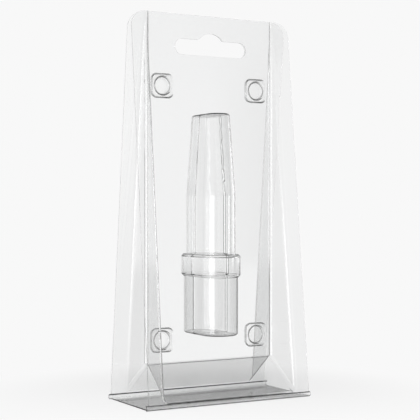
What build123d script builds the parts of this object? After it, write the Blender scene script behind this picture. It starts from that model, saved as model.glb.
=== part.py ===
from build123d import *
import os
from math import asin, atan2, cos, degrees, hypot, radians, sin, tan

os.makedirs("parts", exist_ok=True)

# A clear trifold pack, thermoformed from one sheet of film.
# The flat base carries a hinge bead along its front and its back edge.
# A hollow half stands on each bead, and the two halves close like a book over the product.
# X runs along the hinges, Y from front to back, Z up, with the origin under the middle of the base.

# The whole pack
pack_width = 71.0
pack_depth = 34.0
pack_height = 150.7
film = 0.4
middle_gap = 0.2
corner_radius = 6.5

# Living hinges
bead_radius = 1.0
bead_overhang = 0.85
bead_sweep_deg = 195.0
hinge_clearance = 0.12

# Sloping flange frame, straight side walls and flat centre panel of a half
top_setback = 1.3
flange_width = 6.9
wall_draft_deg = 2.0
ridge_height = 14.7
inner_fold_radius = 1.0
outer_fold_radius = 1.4

# Product cavity: straight sides, then half a circle, in three stages and a tapered top
cavity_floor = 25.4
body_half_width = 7.6
body_side_depth = 6.4
body_length = 22.6
collar_half_width = 8.3
collar_side_depth = 7.0
collar_length = 9.0
collar_chamfer = 0.8
neck_half_width = 6.8
neck_side_depth = 6.0
neck_length = 22.8
tip_half_width = 4.8
tip_side_depth = 5.5
tip_length = 32.2
cavity_end_radius = 1.0
cavity_root_radius = 0.4

# Hang hole
hole_length = 32.0
hole_slot_height = 6.2
hole_bump_radius = 6.7
hole_height = 8.9
hole_drop = 15.7
hole_corner_radius = 0.8

# Snap buttons: round studs on the front half, rounded square sockets on the back half
button_inset = 14.3
upper_button_drop = 28.3
lower_button_rise = 9.2
socket_size = 9.4
socket_corner_radius = 2.2
socket_depth = 2.2
socket_draft_deg = 4.0
socket_rim_radius = 0.45
stud_radius = 3.85
stud_reach = 1.55
stud_draft_deg = 18.0
stud_tip_radius = 0.45
snap_root_radius = 0.3

# How far a cutting shape runs past what it cuts, and how near an edge lies to the plane it is on
overrun = 5.0
near = 0.01

# Worked out from the sizes above
half_width = pack_width / 2
half_depth = pack_depth / 2
half_gap = middle_gap / 2
hinge_y = half_depth - bead_radius
clear_radius = bead_radius + hinge_clearance
cut_top = pack_height + overrun
cut_bottom = -overrun

# Lean of the flange: its outer face touches the bead and reaches the setback at the top
top_run = hinge_y - top_setback
top_rise = pack_height - bead_radius
flange_lean = atan2(top_run, top_rise) + asin(bead_radius / hypot(top_run, top_rise))

# Pitch of the foot: its underside leaves the hinge's clear circle and meets the ridge
ridge_run = hinge_y - half_gap
ridge_rise = ridge_height - bead_radius
foot_pitch = atan2(ridge_rise, ridge_run) - asin(clear_radius / hypot(ridge_run, ridge_rise))


def flange_y(height, growth):
    """Y of the front half's flange face at a height; growth 0 is its inner face, film its outer face."""
    reach = bead_radius - film + growth
    return -hinge_y + ((height - bead_radius) * sin(flange_lean) - reach) / cos(flange_lean)


def foot_z(place_y, growth):
    """Z of the sloping foot at a place across the pack; growth 0 is its underside."""
    reach = clear_radius + growth
    return bead_radius + (reach + (place_y + hinge_y) * sin(foot_pitch)) / cos(foot_pitch)


def side_prism(points, width):
    """Prism along X, centred, over a closed outline of (Y, Z) points."""
    outline = make_face(Polyline(*points, close=True))
    return extrude(Plane.YZ * outline, amount=width / 2, both=True)


def wedge(growth):
    """All that lies behind the front flange's face, over the whole width of the pack."""
    outline = [
        (overrun, cut_bottom),
        (flange_y(cut_bottom, growth), cut_bottom),
        (flange_y(cut_top, growth), cut_top),
        (overrun, cut_top),
    ]
    return side_prism(outline, pack_width + overrun)


def pocket(growth):
    """The open space in front of the centre panel, between the side walls and above the foot."""
    back_y = -half_gap - growth
    shrink = (film - growth) / cos(radians(wall_draft_deg))
    flare = tan(radians(wall_draft_deg))
    mouth_half = half_width - flange_width + shrink
    back_half = mouth_half - (half_depth + back_y) * flare
    front_half = mouth_half + overrun * flare
    front_y = -half_depth - overrun
    plan = make_face(Polyline(
        (-back_half, back_y),
        (back_half, back_y),
        (front_half, front_y),
        (-front_half, front_y),
        close=True,
    ))
    column = extrude(Pos(0, 0, cut_bottom) * plan, amount=cut_top + 2 * overrun)
    profile = [
        (back_y, foot_z(back_y, growth)),
        (front_y, foot_z(front_y, growth)),
        (front_y, cut_top + overrun),
        (back_y, cut_top + overrun),
    ]
    space = column & side_prism(profile, pack_width + 2 * overrun)
    folds = space.edges().filter_by(
        lambda edge: edge.center().Y > front_y + film and edge.center().Z < cut_top
    )
    return fillet(folds, inner_fold_radius + film - growth)


def cavity_section(half_breadth, side_depth, height, growth):
    """Half of the cavity's outline, seen from above: straight sides closed by half a circle.

    The sides start from the panel in a small radius, so the section spreads a little at its root.
    """
    panel_y = -half_gap - growth
    root_radius = cavity_root_radius + film - growth
    side_x = half_breadth - film + growth
    spread_x = side_x + 2 * root_radius
    outline = make_face([
        Polyline((side_x, -side_depth), (side_x, panel_y), (spread_x, panel_y), (spread_x, overrun)),
        Line((spread_x, overrun), (-spread_x, overrun)),
        Polyline((-spread_x, overrun), (-spread_x, panel_y), (-side_x, panel_y), (-side_x, -side_depth)),
        CenterArc((0, -side_depth), side_x, 180, 180),
    ])
    corners = outline.vertices().filter_by(
        lambda point: abs(point.Y - panel_y) < near and abs(point.X) < side_x + near
    )
    return Pos(0, 0, height) * fillet(corners, root_radius)


def cavity(growth):
    """The hollow bulge for the product, grown evenly out of its inner surface."""
    inset = film - growth
    base_z = cavity_floor + inset
    collar_z = cavity_floor + body_length
    neck_z = collar_z + collar_length
    taper_z = neck_z + neck_length
    tip_z = taper_z + tip_length - inset
    body = extrude(
        cavity_section(body_half_width, body_side_depth, base_z, growth),
        amount=collar_z - base_z + collar_length / 2,
    )
    collar = extrude(
        cavity_section(collar_half_width, collar_side_depth, collar_z + inset, growth),
        amount=collar_length - 2 * inset,
    )
    collar_rims = collar.faces().filter_by(Axis.Z).edges().filter_by(lambda edge: edge.center().Y < 0)
    collar = chamfer(collar_rims, collar_chamfer)
    neck = extrude(
        cavity_section(neck_half_width, neck_side_depth, neck_z - collar_length / 2, growth),
        amount=neck_length + collar_length / 2,
    )
    tip = loft([
        cavity_section(neck_half_width, neck_side_depth, taper_z, growth),
        cavity_section(tip_half_width, tip_side_depth, tip_z, growth),
    ])
    bulge = body + collar + neck + tip
    ends = bulge.faces().filter_by(Axis.Z)
    caps = [ends.sort_by(Axis.Z)[0], ends.sort_by(Axis.Z)[-1]]
    rims = [edge for cap in caps for edge in cap.edges() if edge.center().Y < 0]
    return fillet(rims, cavity_end_radius - inset)


def behind_surface(growth):
    """The solid behind a half's surface: growth 0 gives the film's inner face, film its outer face."""
    frame = wedge(growth) - pocket(growth)

    def bounds_mouth(edge):
        point = edge.center()
        on_flange = abs(point.Y - flange_y(point.Z, growth)) < film / 2
        return on_flange and abs(point.X) < half_width and 0 < point.Z < pack_height

    mouth = frame.edges().filter_by(bounds_mouth)
    return fillet(mouth, outer_fold_radius + growth) + cavity(growth)


def pack_outline():
    """The half as seen from the front, with its rounded top corners, cut back to the middle gap."""
    blank = Rectangle(pack_width, pack_height, align=(Align.CENTER, Align.MIN))
    blank = fillet(blank.vertices().group_by(Axis.Y)[-1], corner_radius)
    block = extrude(Plane.XZ * blank, amount=pack_depth)
    block -= Pos(0, -half_gap, 0) * Box(
        pack_width + overrun, pack_depth, cut_top * 2,
        align=(Align.CENTER, Align.MIN, Align.CENTER),
    )
    block -= Box(
        pack_width + overrun, pack_depth * 2 + overrun, bead_radius * 2,
    )
    hinge_line = Pos(0, -hinge_y, bead_radius) * Rot(0, 90, 0)
    return block - hinge_line * Cylinder(clear_radius, pack_width + overrun)


def hang_hole():
    """The slot with a rounded bump over its middle, cut through a centre panel."""
    slot_z = pack_height - hole_drop
    slot = SlotOverall(hole_length, hole_slot_height)
    bump = Pos(0, hole_height - hole_bump_radius - hole_slot_height / 2) * Circle(hole_bump_radius)
    above = Rectangle(hole_length, hole_height, align=(Align.CENTER, Align.MIN))
    hole = slot + (bump & above)
    shoulders = hole.vertices().filter_by(
        lambda point: abs(point.Y - hole_slot_height / 2) < film and abs(point.X) < hole_bump_radius
    )
    hole = fillet(shoulders, hole_corner_radius)
    return extrude(Plane.XZ * (Pos(0, slot_z + hole_slot_height / 2) * hole), amount=overrun, both=True)


def button_places():
    """X and Z of the four snap buttons."""
    across = half_width - button_inset
    heights = [ridge_height + lower_button_rise, pack_height - upper_button_drop]
    return [(side * across, height) for height in heights for side in (-1, 1)]


def plain_half():
    """A front half without its buttons."""
    skin = behind_surface(film) - behind_surface(0)
    return (skin & pack_outline()) - hang_hole()


def round_roots(half, place_y, radius):
    """Round the edges that the buttons leave on one face of the centre panel."""

    def at_button(edge):
        point = edge.center()
        beside = [hypot(point.X - place[0], point.Z - place[1]) < socket_size for place in button_places()]
        return abs(point.Y - place_y) < near and any(beside)

    return fillet(half.edges().filter_by(at_button), radius)


def stud_form(inset):
    """Solid of a snap stud that points back from the front panel's inner face; inset gives its hollow."""
    form = extrude(
        Plane.XZ * Circle(stud_radius - inset),
        amount=half_gap + stud_reach - inset,
        taper=stud_draft_deg,
    )
    front = form.faces().sort_by(Axis.Y)[0]
    form = fillet(front.edges(), stud_tip_radius + film - inset)
    return mirror(form, about=Plane.XZ)


def front_half():
    """The front half: its studs are hollow, open to the front, and reach past the middle of the pack."""
    half = plain_half()
    mouth = Rot(90, 0, 0) * Cylinder(stud_radius - film, 3 * film)
    for across, height in button_places():
        place = Pos(across, -half_gap, height)
        half = half + place * stud_form(0) - place * mouth - place * stud_form(film)
    half = round_roots(half, -half_gap, snap_root_radius)
    return round_roots(half, -half_gap - film, snap_root_radius)


def socket_form(inset):
    """Solid of a snap socket that stands out of a panel's outer face; inset gives its hollow."""
    size = socket_size - 2 * inset
    flat = RectangleRounded(size, size, socket_corner_radius - inset)
    form = extrude(Plane.XZ * flat, amount=socket_depth - inset, taper=socket_draft_deg)
    front = form.faces().sort_by(Axis.Y)[0]
    return fillet(front.edges(), socket_rim_radius + film - inset)


def back_half():
    """The back half: a plain half with hollow sockets, open to the middle, turned to face back."""
    half = plain_half()
    for across, height in button_places():
        place = Pos(across, -half_gap, height)
        half = half + place * socket_form(0) - place * socket_form(film)
    half = round_roots(half, -half_gap, snap_root_radius)
    half = round_roots(half, -half_gap - film, snap_root_radius)
    return mirror(half, about=Plane.XZ)


def hinge_bead(side):
    """Rolled bead along one edge of the base, open towards the middle of the pack."""
    centre = (side * hinge_y, bead_radius)
    inner_radius = bead_radius - film
    start = 270.0
    sweep = side * bead_sweep_deg

    def rim(radius, angle):
        return (centre[0] + radius * cos(radians(angle)), centre[1] + radius * sin(radians(angle)))

    outline = make_face([
        CenterArc(centre, bead_radius, start, sweep),
        Line(rim(bead_radius, start + sweep), rim(inner_radius, start + sweep)),
        CenterArc(centre, inner_radius, start, sweep),
        Line(rim(inner_radius, start), rim(bead_radius, start)),
    ])
    return extrude(Plane.YZ * outline, amount=half_width + bead_overhang, both=True)


def base_panel():
    """Flat base film between the two hinge beads, which stand out a little at both ends."""
    plate = Box(pack_width, 2 * hinge_y, film, align=(Align.CENTER, Align.CENTER, Align.MIN))
    return plate + hinge_bead(-1) + hinge_bead(1)


pieces = {
    "base_panel": base_panel(),
    "front_shell": front_half(),
    "back_shell": back_half(),
}

for name, piece in pieces.items():
    piece.label = name
    export_step(piece, "parts/" + name + ".step")
    box = piece.bounding_box()
    print(name, len(piece.solids()), round(piece.volume, 1), box.min, box.max)
print("flange leans", round(degrees(flange_lean), 2), "degrees")
print("foot pitch", round(degrees(foot_pitch), 2), "degrees")
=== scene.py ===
# %% [markdown]
# # A clear trifold pack
# The object is one sheet of clear PET film, thermoformed and folded: a flat base and two hollow halves
# that close like a book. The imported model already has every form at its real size, so this script is
# about what makes thin clear film readable: its thickness, its finish, the light and the background.

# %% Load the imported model
import math

import bpy
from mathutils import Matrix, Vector


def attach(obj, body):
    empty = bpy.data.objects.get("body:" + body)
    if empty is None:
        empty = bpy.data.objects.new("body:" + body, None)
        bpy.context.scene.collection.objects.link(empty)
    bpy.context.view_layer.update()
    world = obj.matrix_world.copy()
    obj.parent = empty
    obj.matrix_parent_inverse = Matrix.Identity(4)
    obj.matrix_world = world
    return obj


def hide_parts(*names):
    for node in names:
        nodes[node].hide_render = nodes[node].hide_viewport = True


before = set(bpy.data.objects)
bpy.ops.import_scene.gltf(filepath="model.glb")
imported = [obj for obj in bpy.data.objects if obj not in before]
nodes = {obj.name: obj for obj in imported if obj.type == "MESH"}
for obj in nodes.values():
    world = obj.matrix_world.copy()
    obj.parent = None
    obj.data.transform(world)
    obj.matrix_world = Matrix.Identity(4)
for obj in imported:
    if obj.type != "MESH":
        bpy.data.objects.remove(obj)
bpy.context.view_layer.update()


# %% [markdown]
# ## The camera
# A camera at the photograph's viewing angle comes first, because every later choice is judged through it.
# The pack's upright lines don't converge, so the camera is level, and the horizon runs through the
# middle of the picture. It stands to the left of the pack and looks at its front and its left side.
# A camera that isn't tilted looks straight down, so a tilt of 90 degrees makes it level.

# %% Camera
camera_place = Vector((-0.22712, -0.40047, 0.07427))
camera_tilt = math.radians(90.0)
camera_turn = math.radians(-29.54)
lens_length = 99.72
sensor_width = 36.0
nearest_seen = 0.01

camera_data = bpy.data.cameras.new("camera")
camera_data.lens = lens_length
camera_data.sensor_width = sensor_width
camera_data.clip_start = nearest_seen
camera = bpy.data.objects.new("camera", camera_data)
camera.location = camera_place
camera.rotation_euler = (camera_tilt, 0.0, camera_turn)
scene = bpy.context.scene
scene.collection.objects.link(camera)
bpy.context.scene.camera = camera
print("camera", tuple(round(v, 4) for v in camera.location), "lens", camera_data.lens)

# %% [markdown]
# ## Helpers for node trees
# Materials, the world and the base film are built from nodes. A few short helpers keep that readable:
# they add a node and set its values by socket name, join two sockets, do sums, fade and mix. The pair of
# numbers that most of them take is only the node's place in the editor.


# %% Add and join nodes
def add_node(tree, kind, place, **values):
    """A node of that kind, with its sockets or settings given by name; spaces are underscores."""
    node = tree.nodes.new(kind)
    node.location = place
    for name, value in values.items():
        socket = node.inputs.get(name.replace("_", " "))
        if socket is not None:
            socket.default_value = value
        else:
            setattr(node, name, value)
    return node


def join(tree, start, end):
    """Link two sockets."""
    tree.links.new(start, end)


def number(tree, operation, place, *values):
    """A math node fed by numbers or sockets."""
    node = add_node(tree, "ShaderNodeMath", place, operation=operation)
    for socket, value in zip(node.inputs, values):
        if isinstance(value, float):
            socket.default_value = value
        else:
            join(tree, value, socket)
    return node.outputs[0]


print("helpers", add_node.__name__, join.__name__, number.__name__)


# %% Fade and mix
half_bounce = 0.5


def fade_between(tree, value, start, end, place):
    """A share that rises smoothly from 0 to 1 as a value goes from start to end."""
    fade = add_node(tree, "ShaderNodeMapRange", place, From_Min=start, From_Max=end)
    fade.interpolation_type = "SMOOTHSTEP"
    join(tree, value, fade.inputs["Value"])
    return fade.outputs["Result"]


def mix_shaders(tree, share, first, second, place):
    """Mix two shaders by a share from 0 to 1."""
    mix = add_node(tree, "ShaderNodeMixShader", place)
    for start, end in zip((share, first, second), mix.inputs):
        join(tree, start, end)
    return mix.outputs["Shader"]


def after_mirroring(tree, place):
    """1 for rays that the film has mirrored at least once, 0 for the rest."""
    rays = add_node(tree, "ShaderNodeLightPath", place)
    beside = (place[0] + 200, place[1])
    return number(tree, "GREATER_THAN", beside, rays.outputs["Glossy Depth"], half_bounce)


print("helpers", fade_between.__name__, mix_shaders.__name__, after_mirroring.__name__)

# %% [markdown]
# ## The background and the surroundings
# Clear film shows almost nothing of itself. What the eye reads is where it bends or mirrors something
# other than the backdrop behind it. So the surroundings get two views: the pale backdrop, which is what
# the camera and rays that pass straight through the film see, and a darker studio, which is what the film
# mirrors. An image of a real studio could be used for that. Here it is drawn, so that each stretch can be
# set by itself, as three rings round the compass: one a little below the camera's height, one level with
# it and one above it. Each ring is a colour ramp with pale and dark stretches, and two white strip lights
# draw the long highlights down the cavity and along the folds. The studio fades to a dark ceiling
# overhead, which is what makes the sloping foot look grey, and to a dark ground below the rings. Rays
# that light the floor see one low even level, so that the lamp alone makes the shadow.

# %% Levels of the studio
backdrop_level = 0.9387
ceiling_level = 0.06
ground_level = 0.30
floor_fill_level = 0.06
strip_level = 3.6
left_strip_level = 2.8

# Compass angle in degrees, clockwise from straight ahead behind the pack, and the level mirrored there
level_ring = [
    (-180, 0.50), (-158, 0.50), (-153, left_strip_level), (-127, left_strip_level), (-122, 0.60),
    (-100, 0.90), (-78, 0.75), (-72, 0.45), (-62, 0.45), (-58, 0.90), (-49, 0.90), (-45, 0.80),
    (-30, 0.85), (-2, 0.85), (3, 0.50), (9, 0.40), (17, 0.25), (28, 0.25), (38, 1.20), (48, 1.60),
    (72, 1.60), (80, 0.25), (92, 0.25), (97, strip_level), (105, strip_level), (109, 0.30),
    (117, 0.45), (121, 0.96), (132, 0.96), (145, 0.70), (156, 0.50), (180, 0.50),
]
low_ring = [
    (-180, 0.25), (-158, 0.25), (-153, left_strip_level), (-127, left_strip_level), (-122, 0.60),
    (-100, 0.85), (-82, 0.50), (-74, 0.27), (-50, 0.27), (-40, 0.70), (3, 0.70), (9, 0.40),
    (17, 0.25), (104, 0.25), (112, 1.00), (132, 1.00), (150, 0.70), (158, 0.25), (180, 0.25),
]
high_ring = [
    (-180, 0.60), (-60, 0.75), (-30, 0.60), (-20, 0.22), (20, 0.22), (40, 0.60), (105, 0.60),
    (116, 0.68), (122, 0.94), (134, 0.94), (150, 0.60), (180, 0.60),
]
print("ring stops", len(low_ring), len(level_ring), len(high_ring))

# %% Where one ring gives way to the next
# Each pair is how steeply a direction points up or down where the fade starts and ends
ground_to_low = (-0.30, -0.13)
low_to_level = (-0.06, -0.035)
level_to_high = (0.08, 0.16)
high_to_ceiling = (0.25, 0.60)
backdrop_to_ceiling = (0.25, 0.75)
print("rings lie between", ground_to_low[0], "and", high_to_ceiling[1])

# %% Directions in the world
# Compass angles start from the camera's heading over the floor and turn to its right
ahead = (0.493, 0.870, 0.0)
rightward = (0.870, -0.493, 0.0)

world = bpy.data.worlds.new("studio")
scene.world = world
world.use_nodes = True
world_tree = world.node_tree
world_tree.nodes.clear()
direction = add_node(world_tree, "ShaderNodeTexCoord", (-1500, 0)).outputs["Generated"]
steepness = add_node(world_tree, "ShaderNodeSeparateXYZ", (-1300, 200))
join(world_tree, direction, steepness.inputs["Vector"])


def along(vector, place):
    """How far a direction points along a fixed one."""
    dot = add_node(world_tree, "ShaderNodeVectorMath", place, operation="DOT_PRODUCT")
    dot.inputs[1].default_value = vector
    join(world_tree, direction, dot.inputs[0])
    return dot.outputs["Value"]


to_the_right = along(rightward, (-1300, 0))
straight_on = along(ahead, (-1300, -200))
compass = number(world_tree, "ARCTAN2", (-1000, 0), to_the_right, straight_on)
turn = add_node(world_tree, "ShaderNodeMapRange", (-820, 0), From_Min=-math.pi, From_Max=math.pi)
join(world_tree, compass, turn.inputs["Value"])
print("compass from", ahead, "turning to", rightward)

# %% Draw the rings
half_turn = 180
whole_turn = 360
ramp_middle = 0.5


def draw_ring(levels, place):
    """A ring of the studio: grey levels by compass angle."""
    ramp = add_node(world_tree, "ShaderNodeValToRGB", place)
    stops = ramp.color_ramp.elements
    while len(stops) < len(levels):
        stops.new(ramp_middle)
    for stop, (angle, level) in zip(stops, levels):
        stop.position = (angle + half_turn) / whole_turn
    for stop, (angle, level) in zip(stops, levels):
        share = level / strip_level
        stop.color = (share, share, share, 1.0)
    join(world_tree, turn.outputs["Result"], ramp.inputs["Fac"])
    beside = (place[0] + 300, place[1])
    scaled = add_node(world_tree, "ShaderNodeVectorMath", beside, operation="SCALE", Scale=strip_level)
    join(world_tree, ramp.outputs["Color"], scaled.inputs[0])
    return scaled.outputs[0]


low_part = draw_ring(low_ring, (-640, -300))
level_part = draw_ring(level_ring, (-640, 0))
high_part = draw_ring(high_ring, (-640, 300))
print("world nodes with rings", len(world_tree.nodes))


# %% Stack the rings
def mix_levels(share, low, high, place):
    """Mix two colours of the world, each a grey level or a socket."""
    mix = add_node(world_tree, "ShaderNodeMix", place, data_type="RGBA")
    join(world_tree, share, mix.inputs[0])
    for socket, value in ((mix.inputs[6], low), (mix.inputs[7], high)):
        if isinstance(value, float):
            socket.default_value = (value, value, value, 1.0)
        else:
            join(world_tree, value, socket)
    return mix.outputs[2]


def stack(fade_range, below, above, place):
    """One colour below, and another above where a direction turns up."""
    share = fade_between(world_tree, steepness.outputs["Z"], *fade_range, (place[0] - 200, place[1]))
    return mix_levels(share, below, above, place)


up_to_level = stack(low_to_level, low_part, level_part, (-140, -300))
up_to_high = stack(level_to_high, up_to_level, high_part, (60, -300))
grounded = stack(ground_to_low, ground_level, up_to_high, (260, -300))
mirrored = stack(high_to_ceiling, grounded, ceiling_level, (460, -300))
through = stack(backdrop_to_ceiling, backdrop_level, ceiling_level, (460, 300))
print("world nodes with fades", len(world_tree.nodes))

# %% Who sees what
rays = add_node(world_tree, "ShaderNodeLightPath", (460, 700))
seen_by_film = mix_levels(after_mirroring(world_tree, (460, 500)), through, mirrored, (860, 0))
seen = mix_levels(rays.outputs["Is Camera Ray"], seen_by_film, backdrop_level, (1060, 0))
lit = mix_levels(rays.outputs["Is Diffuse Ray"], seen, floor_fill_level, (1260, 0))
background = add_node(world_tree, "ShaderNodeBackground", (1460, 0))
join(world_tree, lit, background.inputs["Color"])
output = add_node(world_tree, "ShaderNodeOutputWorld", (1660, 0))
join(world_tree, background.outputs["Background"], output.inputs["Surface"])
print("world nodes", len(world_tree.nodes))

# %% [markdown]
# ## The lamp
# Only the floor needs a lamp, because everything else is clear. One soft box stands high above the camera
# and points at the pack. The pack's faint shadow then falls straight away from the camera, where it shows
# mostly through the film, and makes the foot look grey. A lamp from the side would throw the shadow onto
# open floor, where the photograph has none.

# %% Lamp
lamp_distance = 1.5
lamp_climb = math.radians(55.0)
lamp_size = 0.15
lamp_power = 26.3

lamp_data = bpy.data.lights.new("high_box", "AREA")
lamp_data.shape = "SQUARE"
lamp_data.size = lamp_size
lamp_data.energy = lamp_power
high_box = bpy.data.objects.new("high_box", lamp_data)
towards_lamp = -math.cos(lamp_climb) * Vector(ahead) + Vector((0.0, 0.0, math.sin(lamp_climb)))
high_box.location = lamp_distance * towards_lamp
high_box.rotation_euler = towards_lamp.to_track_quat("Z", "Y").to_euler()
high_box.visible_glossy = False
high_box.visible_transmission = False
scene.collection.objects.link(high_box)
print("lamp", high_box.name, "power", lamp_data.energy)

# %% [markdown]
# ## The floor
# The floor has to vanish into the backdrop and still hold the pack's faint shadow. Near the pack it is
# plain white and lit by the lamp. Further out it fades to the backdrop's own level, so no horizon shows.
# Rays that the film has mirrored pass through all of it, so that they see the studio's low ring and its
# ground in place of a white floor, which would wash out the film's lower half.

# %% Sizes and place of the floor
floor_reach = 6.0
floor_drop = 0.0001
floor_white = 0.86
fade_start = 0.045
fade_end = 0.11

bpy.ops.mesh.primitive_plane_add(size=2 * floor_reach, location=(0, 0, -floor_drop))
floor = bpy.context.active_object
floor.name = "floor"
print("floor", floor.name, "reaches", floor_reach)

# %% Floor material
white_color = (floor_white, floor_white, floor_white, 1.0)
glow_color = (backdrop_level, backdrop_level, backdrop_level, 1.0)
floor_material = bpy.data.materials.new("floor_white")
floor_material.use_nodes = True
floor_tree = floor_material.node_tree
floor_tree.nodes.clear()
where = add_node(floor_tree, "ShaderNodeTexCoord", (-800, 0))
distance = add_node(floor_tree, "ShaderNodeVectorMath", (-600, 0), operation="LENGTH")
join(floor_tree, where.outputs["Object"], distance.inputs[0])
far_share = fade_between(floor_tree, distance.outputs["Value"], fade_start, fade_end, (-400, 0))
white = add_node(floor_tree, "ShaderNodeBsdfDiffuse", (-400, 300), Color=white_color)
glow = add_node(floor_tree, "ShaderNodeEmission", (-400, -300), Color=glow_color, Strength=1.0)
passing = add_node(floor_tree, "ShaderNodeBsdfTransparent", (-200, -450))
shown = mix_shaders(floor_tree, far_share, white.outputs["BSDF"], glow.outputs["Emission"], (-200, 0))
bounced = after_mirroring(floor_tree, (-400, 500))
surface = mix_shaders(floor_tree, bounced, shown, passing.outputs["BSDF"], (0, 0))
output = add_node(floor_tree, "ShaderNodeOutputMaterial", (200, 0))
join(floor_tree, surface, output.inputs["Surface"])
floor.data.materials.append(floor_material)
print("floor nodes", len(floor_tree.nodes))

# %% [markdown]
# ## Where the film was cut
# The die leaves a matt edge round the pack and in the hanging hole, while both faces of the film stay
# glossy. The edges could be given a second material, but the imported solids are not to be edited. So the
# material finds them by place: near the outline, which is a rectangle with rounded top corners, or edge
# on to the front in the hole. The beads at the foot stand out past that outline and would count as cut
# all over, so the rule starts above them.

# %% Sizes of the outline and the hole
half_width = 0.0355
full_height = 0.1507
corner_radius = 0.0065
cut_width = 0.00008
cut_lowest = 0.0025
hole_reach = 0.016
hole_start = 0.134
edge_on_limit = 0.5
print("cut outline", 2 * half_width, "wide", full_height, "high")


# %% Find the cut edges
def past_corner(tree, value, size, row):
    """The square of how far a place lies past the start of a rounded corner."""
    over = number(tree, "SUBTRACT", (-1800, row), value, size - corner_radius)
    out = number(tree, "MAXIMUM", (-1700, row), over, 0.0)
    return number(tree, "POWER", (-1600, row), out, 2.0)


def cut_edges(tree, where):
    """1 on the die-cut outline and in the hanging hole, 0 on the film's faces."""
    xyz = add_node(tree, "ShaderNodeSeparateXYZ", (-2000, 600))
    join(tree, where, xyz.inputs["Vector"])
    across = number(tree, "ABSOLUTE", (-1900, 700), xyz.outputs["X"])
    squares = number(tree, "ADD", (-1500, 600), past_corner(tree, across, half_width, 700),
                     past_corner(tree, xyz.outputs["Z"], full_height, 500))
    reach = number(tree, "SQRT", (-1400, 600), squares)
    at_edge = number(tree, "GREATER_THAN", (-1300, 600), reach, corner_radius - cut_width)
    above_bead = number(tree, "GREATER_THAN", (-1700, 400), xyz.outputs["Z"], cut_lowest)
    outline = number(tree, "MULTIPLY", (-1250, 500), at_edge, above_bead)

    faces = add_node(tree, "ShaderNodeNewGeometry", (-2000, 1000))
    facing = add_node(tree, "ShaderNodeSeparateXYZ", (-1900, 1000))
    join(tree, faces.outputs["True Normal"], facing.inputs["Vector"])
    frontness = number(tree, "ABSOLUTE", (-1800, 1000), facing.outputs["Y"])
    edge_on = number(tree, "LESS_THAN", (-1700, 1000), frontness, edge_on_limit)
    near_hole = number(tree, "LESS_THAN", (-1700, 900), across, hole_reach)
    high = number(tree, "GREATER_THAN", (-1700, 800), xyz.outputs["Z"], hole_start)
    in_middle = number(tree, "MULTIPLY", (-1600, 900), edge_on, near_hole)
    in_hole = number(tree, "MULTIPLY", (-1500, 900), in_middle, high)
    return number(tree, "MAXIMUM", (-1200, 700), outline, in_hole)


print("helper", cut_edges.__name__)

# %% [markdown]
# ## Clear film
# PET film is water-clear, glossy on both faces, and bends light like other clear plastics, with an
# index of about 1.57. The solids have the film's real thickness, so real refraction and double
# reflections come by themselves. Heat and stretching leave a very shallow ripple and a few areas of
# slightly duller gloss, which keep the highlights from looking like ruled glass. The cut edges are matt,
# and part of the light goes straight through them, because a full edge would draw a hard dark outline
# that such thin film doesn't show. Lamps shine through the film nearly unhindered, so it throws only a
# faint shadow.

# %% Values of the film
film_index = 1.575
film_tint = (0.967, 0.969, 0.969, 1.0)
shadow_tint = (0.972, 0.973, 0.973, 1.0)
gloss_low = 0.012
gloss_high = 0.05
dull_scale = 140.0
dull_detail = 4.0
dull_softness = 0.6
dull_from = 0.35
dull_to = 0.75
ripple_scale = 40.0
ripple_detail = 2.0
ripple_softness = 0.4
ripple_height = 0.000012
cut_roughness = 0.45
cut_clearness = 0.65
print("film index", film_index, "ripple", ripple_height)


# %% Ripple and gloss
def film_ripple(tree, where):
    """The normal of a very shallow ripple."""
    ripple = add_node(tree, "ShaderNodeTexNoise", (-800, -200), Scale=ripple_scale,
                      Detail=ripple_detail, Roughness=ripple_softness)
    join(tree, where, ripple.inputs["Vector"])
    bump = add_node(tree, "ShaderNodeBump", (-500, -200), Strength=1.0, Distance=ripple_height)
    join(tree, ripple.outputs["Fac"], bump.inputs["Height"])
    return bump.outputs["Normal"]


def film_gloss(tree, where, cut):
    """Roughness: low and uneven on the faces, matt on the cut edges."""
    dull = add_node(tree, "ShaderNodeTexNoise", (-800, 200), Scale=dull_scale,
                    Detail=dull_detail, Roughness=dull_softness)
    join(tree, where, dull.inputs["Vector"])
    gloss = add_node(tree, "ShaderNodeMapRange", (-500, 200), From_Min=dull_from, From_Max=dull_to,
                     To_Min=gloss_low, To_Max=gloss_high)
    join(tree, dull.outputs["Fac"], gloss.inputs["Value"])
    finish = add_node(tree, "ShaderNodeMix", (-300, 300), data_type="FLOAT")
    join(tree, cut, finish.inputs[0])
    join(tree, gloss.outputs["Result"], finish.inputs[2])
    finish.inputs[3].default_value = cut_roughness
    return finish.outputs[0]


print("helpers", film_ripple.__name__, film_gloss.__name__)

# %% Film material
clear_film = bpy.data.materials.new("clear_pet_film")
clear_film.use_nodes = True
film_tree = clear_film.node_tree
film_tree.nodes.clear()
film_place = add_node(film_tree, "ShaderNodeTexCoord", (-1100, 0)).outputs["Object"]
cut_mask = cut_edges(film_tree, film_place)
clear = add_node(film_tree, "ShaderNodeBsdfPrincipled", (-200, 0), IOR=film_index,
                 Base_Color=film_tint, Transmission_Weight=1.0)
join(film_tree, film_gloss(film_tree, film_place, cut_mask), clear.inputs["Roughness"])
join(film_tree, film_ripple(film_tree, film_place), clear.inputs["Normal"])
rays = add_node(film_tree, "ShaderNodeLightPath", (-200, 400))
shade = add_node(film_tree, "ShaderNodeBsdfTransparent", (-200, -500), Color=shadow_tint)
shaded = mix_shaders(film_tree, rays.outputs["Is Shadow Ray"], clear.outputs["BSDF"],
                     shade.outputs["BSDF"], (200, 0))
straight = add_node(film_tree, "ShaderNodeBsdfTransparent", (200, -300))
straight_share = number(film_tree, "MULTIPLY", (200, 300), cut_mask, cut_clearness)
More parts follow.
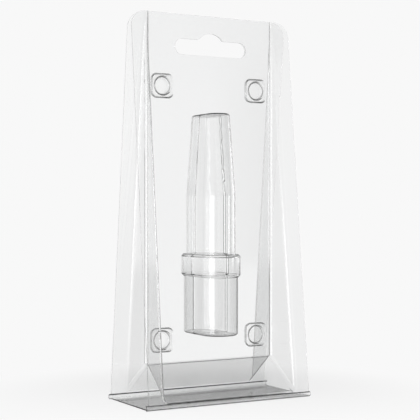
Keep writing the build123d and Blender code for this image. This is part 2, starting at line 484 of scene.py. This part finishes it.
film_surface = mix_shaders(film_tree, straight_share, shaded, straight.outputs["BSDF"], (400, 0))
output = add_node(film_tree, "ShaderNodeOutputMaterial", (600, 0))
join(film_tree, film_surface, output.inputs["Surface"])
print("film nodes", len(film_tree.nodes))

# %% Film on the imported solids
for name in sorted(nodes):
    part = nodes[name]
    part.data.materials.clear()
    part.data.materials.append(clear_film)
    print("film on", name, "with", len(part.data.polygons), "triangles")

# %% [markdown]
# ## The base film
# The base is the flat strip that the pack stands on. Its front and back edges curl up into the beads
# that the halves hinge on, and the beads stand out a little past the strip at both ends. Its whole shape
# follows one rule: a flat run, then an arc of fixed radius, at every place along the hinge. That suits
# Geometry Nodes: a grid is bent to the rule, and then it gets the film's thickness. The tree's inputs are
# the sizes that a maker would set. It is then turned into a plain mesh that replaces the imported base.

# %% Sizes of the base film
base_half_length = half_width
bead_overhang = 0.00085
hinge_distance = 0.016
bead_radius = 0.001
film_thickness = 0.0004
bead_sweep = math.radians(195.0)
print("base film", 2 * base_half_length, "long, hinges", 2 * hinge_distance, "apart")

# %% Tree for the base film
base_tree = bpy.data.node_groups.new("bent_base_film", "GeometryNodeTree")
base_sizes = [
    ("Half Length", base_half_length),
    ("Bead Overhang", bead_overhang),
    ("Hinge Distance", hinge_distance),
    ("Bead Radius", bead_radius),
    ("Bead Sweep", bead_sweep),
    ("Film Thickness", film_thickness),
]
for name, value in base_sizes:
    base_tree.interface.new_socket(name, in_out="INPUT", socket_type="NodeSocketFloat")
base_tree.interface.new_socket("Material", in_out="INPUT", socket_type="NodeSocketMaterial")
base_tree.interface.new_socket("Geometry", in_out="OUTPUT", socket_type="NodeSocketGeometry")
sizes = add_node(base_tree, "NodeGroupInput", (-1800, 0)).outputs
print("base film inputs", [socket.name for socket in sizes if socket.name])

# %% A grid to bend
grid_span = 2.0
steps_along = 25
steps_across = 65

grid = add_node(base_tree, "GeometryNodeMeshGrid", (-1400, 400), Size_X=grid_span, Size_Y=grid_span,
                Vertices_X=steps_along, Vertices_Y=steps_across)
spot = add_node(base_tree, "GeometryNodeInputPosition", (-1800, -300))
grid_xyz = add_node(base_tree, "ShaderNodeSeparateXYZ", (-1600, -300))
join(base_tree, spot.outputs[0], grid_xyz.inputs[0])
print("grid", steps_along, "by", steps_across)

# %% The rule that bends it
# The middle of the grid stays flat, and the rest of its reach to either side becomes the arc
flat_share = 0.25
bead_starts = 0.001


def rule(operation, place, *values):
    """A math node in the base film's tree."""
    return number(base_tree, operation, place, *values)


side = rule("SIGN", (-1400, -200), grid_xyz.outputs["Y"])
reach = rule("ABSOLUTE", (-1400, -350), grid_xyz.outputs["Y"])
flat_part = rule("MINIMUM", (-1200, -200), rule("DIVIDE", (-1300, -200), reach, flat_share), 1.0)
past_flat = rule("MAXIMUM", (-1200, -350), rule("SUBTRACT", (-1300, -350), reach, flat_share), 0.0)
bend_share = rule("DIVIDE", (-1100, -350), past_flat, 1.0 - flat_share)
bend = rule("MULTIPLY", (-1000, -350), bend_share, sizes["Bead Sweep"])
on_bead = rule("GREATER_THAN", (-1000, -550), bend_share, bead_starts)
overhang = rule("MULTIPLY", (-900, -550), on_bead, sizes["Bead Overhang"])
length = rule("ADD", (-800, -550), sizes["Half Length"], overhang)
flat_reach = rule("MULTIPLY", (-900, -200), flat_part, sizes["Hinge Distance"])
bead_reach = rule("MULTIPLY", (-800, -300), rule("SINE", (-900, -350), bend), sizes["Bead Radius"])
out = rule("ADD", (-700, -300), flat_reach, bead_reach)
drop = rule("MULTIPLY", (-800, -420), rule("COSINE", (-900, -450), bend), sizes["Bead Radius"])
print("flat share", flat_share, "of the grid's reach")

# %% Bend the grid
bent = add_node(base_tree, "ShaderNodeCombineXYZ", (-500, -300))
join(base_tree, rule("MULTIPLY", (-600, -450), grid_xyz.outputs["X"], length), bent.inputs["X"])
join(base_tree, rule("MULTIPLY", (-600, -300), side, out), bent.inputs["Y"])
join(base_tree, rule("SUBTRACT", (-600, -150), sizes["Bead Radius"], drop), bent.inputs["Z"])
placed = add_node(base_tree, "GeometryNodeSetPosition", (-300, 400))
join(base_tree, grid.outputs["Mesh"], placed.inputs["Geometry"])
join(base_tree, bent.outputs["Vector"], placed.inputs["Position"])
print("base film nodes", len(base_tree.nodes))

# %% Give it thickness
merge_distance = 0.000001

thick = add_node(base_tree, "GeometryNodeExtrudeMesh", (-100, 500))
thick.inputs["Individual"].default_value = False
join(base_tree, placed.outputs[0], thick.inputs["Mesh"])
join(base_tree, sizes["Film Thickness"], thick.inputs["Offset Scale"])
under = add_node(base_tree, "GeometryNodeFlipFaces", (-100, 250))
join(base_tree, placed.outputs[0], under.inputs["Mesh"])
both = add_node(base_tree, "GeometryNodeJoinGeometry", (100, 400))
join(base_tree, under.outputs["Mesh"], both.inputs[0])
join(base_tree, thick.outputs["Mesh"], both.inputs[0])
closed = add_node(base_tree, "GeometryNodeMergeByDistance", (300, 400), Distance=merge_distance)
join(base_tree, both.outputs[0], closed.inputs["Geometry"])
print("base film nodes", len(base_tree.nodes))

# %% Shading and the film's material
sharp_angle = 0.6

smooth = add_node(base_tree, "GeometryNodeSetShadeSmooth", (500, 400), Shade_Smooth=True)
join(base_tree, closed.outputs[0], smooth.inputs[0])
corner = add_node(base_tree, "GeometryNodeInputMeshEdgeAngle", (300, 100))
sharp = rule("GREATER_THAN", (500, 100), corner.outputs["Unsigned Angle"], sharp_angle)
crisp = add_node(base_tree, "GeometryNodeSetShadeSmooth", (700, 400), domain="EDGE", Shade_Smooth=False)
join(base_tree, smooth.outputs[0], crisp.inputs[0])
join(base_tree, sharp, crisp.inputs["Selection"])
real = add_node(base_tree, "GeometryNodeRealizeInstances", (900, 400))
join(base_tree, crisp.outputs[0], real.inputs[0])
covered = add_node(base_tree, "GeometryNodeSetMaterial", (1100, 400))
join(base_tree, real.outputs[0], covered.inputs["Geometry"])
join(base_tree, sizes["Material"], covered.inputs["Material"])
result = add_node(base_tree, "NodeGroupOutput", (1300, 400))
join(base_tree, covered.outputs[0], result.inputs["Geometry"])
print("base film nodes", len(base_tree.nodes))

# %% Turn the base film into a plain mesh
shaper = bpy.data.objects.new("base_shaper", bpy.data.meshes.new("base_shaper"))
scene.collection.objects.link(shaper)
bending = shaper.modifiers.new("bend", "NODES")
bending.node_group = base_tree
base_values = dict(base_sizes, Material=clear_film)
for item in base_tree.interface.items_tree:
    if item.in_out == "INPUT":
        bending[item.identifier] = base_values[item.name]
settled = shaper.evaluated_get(bpy.context.evaluated_depsgraph_get())
base_mesh = bpy.data.meshes.new_from_object(settled)
bpy.data.objects.remove(shaper)
base_mesh.materials.clear()
base_mesh.materials.append(clear_film)
base_mesh.polygons.foreach_set("material_index", [0] * len(base_mesh.polygons))
print("base film faces", len(base_mesh.polygons), "material", base_mesh.materials[0].name)

# %% Put the base film in its place
base_film = bpy.data.objects.new("base_film", base_mesh)
scene.collection.objects.link(base_film)
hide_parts("base_panel")
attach(base_film, "base")

# %% [markdown]
# ## Picture settings
# The colours are to come out as they are written, so the view transform is Standard. A ray may cross
# many film surfaces before it reaches the backdrop, so it gets enough bounces not to end in black.

# %% Picture settings
film_crossings = 28
mirror_bounces = 10
clear_crossings = 32

scene.view_settings.view_transform = "Standard"
scene.cycles.max_bounces = film_crossings
scene.cycles.transmission_bounces = film_crossings
scene.cycles.glossy_bounces = mirror_bounces
scene.cycles.transparent_max_bounces = clear_crossings
scene.cycles.use_denoising = True
scene.cycles.caustics_refractive = False
scene.cycles.caustics_reflective = False
print("view", scene.view_settings.view_transform)
